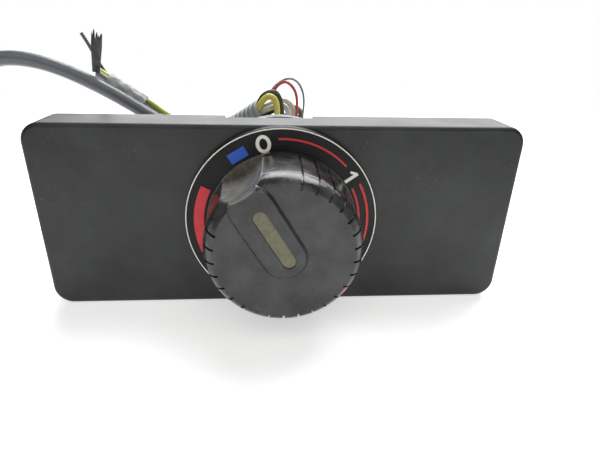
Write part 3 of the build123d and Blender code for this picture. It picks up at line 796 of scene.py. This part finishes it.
class SELECTOR_OT_leads(SelectorOperator, bpy.types.Operator):
    """The leads from the terminals into the sleeve"""

    bl_idname = "selector.leads"
    bl_label = "Leads"

    def execute(self, context):
        colours = context.scene.selector_colours
        for name, (colour, radius, route) in LEADS.items():
            lead = nurbs(name, route, radius * MM)
            lead.name = name + "_wire"
            insulation = pvc(f"Extruded {colour} PVC", getattr(colours, colour))
            dress(lead, insulation, "base", colour + "_pvc", name)
            line = centreline(route, 0.5 * MM)
        return {"FINISHED"}


class SELECTOR_OT_sleeve(SelectorOperator, bpy.types.Operator):
    """Corrugated conduit that gathers the leads"""

    bl_idname = "selector.sleeve"
    bl_label = "Sleeve"

    def execute(self, context):
        sizes = context.scene.selector_sizes

        def reach(run, turn):
            rib = 0.5 - 0.5 * math.cos(2 * math.pi * run / sizes.rib_pitch)
            return sizes.sleeve_radius - sizes.rib_depth * (1 - min(1.0, rib * 1.6))

        step = sizes.rib_pitch / 10
        sleeve = tube("conduit", centreline(SLEEVE_ROUTE, step), reach, 36, capped=False)
        apply(sleeve, "SOLIDIFY", thickness=sizes.sleeve_wall, offset=-1)
        colour = context.scene.selector_colours.sleeve
        material = moulded("Corrugated polyamide conduit", colour, 0.5, 0.8, 0.04, 0.35)
        dress(sleeve, material, "base", "sleeve_plastic", "loom_sleeve")
        return {"FINISHED"}


class SELECTOR_OT_cable(SelectorOperator, bpy.types.Operator):
    """The loom's sheathed cable, its coil, tie and tape"""

    bl_idname = "selector.cable"
    bl_label = "Loom cable"

    def execute(self, context):
        sizes = context.scene.selector_sizes
        colours = context.scene.selector_colours
        route = CABLE_ROUTE + coil_route() + TAIL_ROUTE
        line = centreline(route, 1.1 * MM)

        def sheath(run, turn):
            seam = max(0.0, 1 - abs(turn - 1.25 * math.pi) / 0.3)
            waver = noise.noise(Vector((run / 0.012, math.cos(turn), math.sin(turn))))
            return sizes.cable_radius - 0.00008 + sizes.seam_height * seam + 0.00007 * waver

        cable = tube("loom_cable_sheath", line, sheath, 24)
        grey = pvc("Grey PVC sheath, dusty", colours.sheath, 0.3)
        dress(cable, grey, "base", "tape_cloth", "loom_cable", "loom_coil", "loom_tail")
        tape = cloth("Woven cloth tape", colours.tape)
        wrap = self.wrap(line, sizes)
        dress(wrap, tape, "base", "tape_cloth", "loom_tape")
        tie = self.tie(sizes)
        black = pvc("Black nylon tie", colours.black, 0.15)
        dress(tie, black, "base", "black_pvc", "coil_tie")
        return {"FINISHED"}

    def wrap(self, line, sizes):
        """A few turns of tape round the cable, each turn half over the last."""
        first = Vector((-31.8, 31.64, 12.76)) * MM
        start = min(range(len(line)), key=lambda i: (line[i] - first).length)
        part = [p.copy() for p in line[start : start + 7]]
        fine = []
        for a, b in zip(part, part[1:]):
            fine += [a.lerp(b, k / 6) for k in range(6)]

        def reach(run, turn):
            turns = run / (2.6 * MM) - turn / (2 * math.pi)
            return sizes.cable_radius + sizes.tape_thickness * (1.1 + 0.8 * (turns % 1.0))

        return tube("tape_wrap", fine, reach, 36)

    def tie(self, sizes):
        """A nylon strap round the coil's turns, with its ratchet head on top."""
        low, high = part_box("coil_tie")
        strap_top = high.z - 2.4 * MM
        half = sizes.tie_thickness / 2
        middle = (low + high) / 2
        clear_selection()
        bpy.ops.mesh.primitive_cube_add(size=1, location=(middle.x, middle.y, (low.z + strap_top) / 2))
        strap = bpy.context.object
        strap.name = "tie_strap"
        strap.scale = (high.x - low.x - 2 * half, 2.6 * MM, strap_top - low.z - 2 * half)
        bpy.ops.object.transform_apply(location=True, rotation=True, scale=True)
        shape = bmesh.new()
        shape.from_mesh(strap.data)
        ends = [f for f in shape.faces if abs(f.normal.y) > 0.9]
        bmesh.ops.delete(shape, geom=ends, context="FACES")
        corners = [e for e in shape.edges if abs((e.verts[0].co - e.verts[1].co).normalized().y) > 0.9]
        bmesh.ops.bevel(shape, geom=corners, offset=1.6 * MM, segments=5, profile=0.5, affect="EDGES")
        shape.to_mesh(strap.data)
        shape.free()
        apply(strap, "SOLIDIFY", thickness=sizes.tie_thickness * 0.7, offset=0)
        clear_selection()
        bpy.ops.mesh.primitive_cube_add(size=1, location=(middle.x + 2 * MM, middle.y, high.z - 1.4 * MM))
        head = bpy.context.object
        head.scale = (4.0 * MM, 3.2 * MM, 2.2 * MM)
        bpy.ops.object.transform_apply(location=True, rotation=True, scale=True)
        apply(head, "BEVEL", width=0.35 * MM, segments=3)
        clear_selection()
        strap.select_set(True)
        head.select_set(True)
        bpy.context.view_layer.objects.active = strap
        bpy.ops.object.join()
        return strap


class SELECTOR_OT_branch(SelectorOperator, bpy.types.Operator):
    """The cut branch: three twisted leads, crinkled tape and its torn end"""

    bl_idname = "selector.branch"
    bl_label = "Branch"

    def execute(self, context):
        sizes = context.scene.selector_sizes
        colours = context.scene.selector_colours
        line = centreline(BRANCH_ROUTE, 0.5 * MM)
        frames = side_frames(line)
        offset = sizes.strand_radius * 1.12
        for k, colour in enumerate(("lime", "white", "grey")):
            strand = []
            for here, run, side, up in frames:
                turn = 2 * math.pi * (k / 3 + run / sizes.twist_pitch) + 0.4
                strand.append(here + (side * math.cos(turn) + up * math.sin(turn)) * offset)
            piece = tube(f"branch_{colour}", strand, lambda run, turn: sizes.strand_radius, 16)
            slot = {"lime": "yellow_pvc", "white": "white_pvc", "grey": "grey_pvc"}[colour]
            insulation = pvc(f"Extruded {colour} PVC, branch", getattr(colours, colour))
            dress(piece, insulation, "base", slot, "loom_branch")
        crinkle = self.crinkle(line, sizes)
        dress(crinkle, cloth("Crinkled pale cloth tape", colours.crinkle, 0.5), "base", "tape_cloth")
        tail = self.tail(sizes)
        dress(tail, cloth("Torn cloth tape", colours.torn, 0.5), "base", "tape_cloth", "tape_tail")
        stray = nurbs("stray_wire", STRAY_ROUTE, 0.5 * MM)
        dark_pvc = pvc("Extruded dark grey PVC", darker(colours.grey, 0.35))
        dress(stray, dark_pvc, "base", "grey_pvc", "branch_stray_lead")
        return {"FINISHED"}

    def crinkle(self, line, sizes):
        """Loose, creased tape over the middle of the branch."""
        part = line[int(len(line) * 0.5) : int(len(line) * 0.9)]

        def reach(run, turn):
            turns = run / (3.4 * MM) - turn / (2 * math.pi)
            crease = noise.noise(Vector((run / 0.0016, 1.7 * math.cos(turn), 1.7 * math.sin(turn))))
            return 0.00178 + sizes.tape_thickness * (turns % 1.0) + 0.0005 * crease

        return tube("branch_tape", part, reach, 36)

    def tail(self, sizes):
        """The tape's flat torn end, curling a little, with a jagged edge."""
        low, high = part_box("tape_tail")
        clear_selection()
        bpy.ops.mesh.primitive_grid_add(x_subdivisions=12, y_subdivisions=24, size=1)
        strip = bpy.context.object
        strip.name = "torn_tape"
        width = 3.0 * MM
        length = 11.6 * MM
        for vertex in strip.data.vertices:
            across = vertex.co.x * width
            along = (vertex.co.y + 0.5) * length
            tooth = noise.noise(Vector((vertex.co.x * 9, 3.1, 0.4)))
            along -= max(0.0, along / length - 0.6) * 0.006 * (0.35 + tooth)
            fold = 0.0002 * math.sin(5.5 * vertex.co.x + along * 200) + 0.00003 * math.sin(along * 900)
            narrow = 0.62 + 0.38 * min(1.0, along / (0.6 * length))
            vertex.co = (across * narrow, fold, along - length / 2)
        lean = Matrix.Rotation(math.radians(10), 4, "Y")
        strip.data.transform(Matrix.Translation((low + high) / 2) @ lean)
        apply(strip, "SOLIDIFY", thickness=0.25 * MM, offset=0)
        return strip


class SELECTOR_PT_panel(bpy.types.Panel):
    """Lists the steps in order"""

    bl_label = "Selector Switch"
    bl_idname = "SELECTOR_PT_panel"
    bl_space_type = "VIEW_3D"
    bl_region_type = "UI"
    bl_category = "Selector Switch"

    def draw(self, context):
        for step in STEPS:
            self.layout.operator(step.bl_idname)
        for group in (context.scene.selector_sizes, context.scene.selector_colours):
            for name in group.__annotations__:
                self.layout.prop(group, name)


STEPS = (
    SELECTOR_OT_stage,
    SELECTOR_OT_front_panel,
    SELECTOR_OT_dial,
    SELECTOR_OT_knob,
    SELECTOR_OT_works,
    SELECTOR_OT_leads,
    SELECTOR_OT_sleeve,
    SELECTOR_OT_cable,
    SELECTOR_OT_branch,
)
CLASSES = (SelectorColours, SelectorSizes, SelectorStage, *STEPS, SELECTOR_PT_panel)


def register():
    """Register the classes and hang the settings on the scene."""
    for item in CLASSES:
        bpy.utils.register_class(item)
    bpy.types.Scene.selector_colours = PointerProperty(type=SelectorColours)
    bpy.types.Scene.selector_sizes = PointerProperty(type=SelectorSizes)
    bpy.types.Scene.selector_stage = PointerProperty(type=SelectorStage)


def unregister():
    """Take the settings and classes away again."""
    del bpy.types.Scene.selector_stage
    del bpy.types.Scene.selector_sizes
    del bpy.types.Scene.selector_colours
    for item in reversed(CLASSES):
        bpy.utils.unregister_class(item)


def main():
    """Run every step in order."""
    register()
    for step in STEPS:
        prefix, name = step.bl_idname.split(".")
        getattr(getattr(bpy.ops, prefix), name)()


if __name__ == "__main__":
    main()
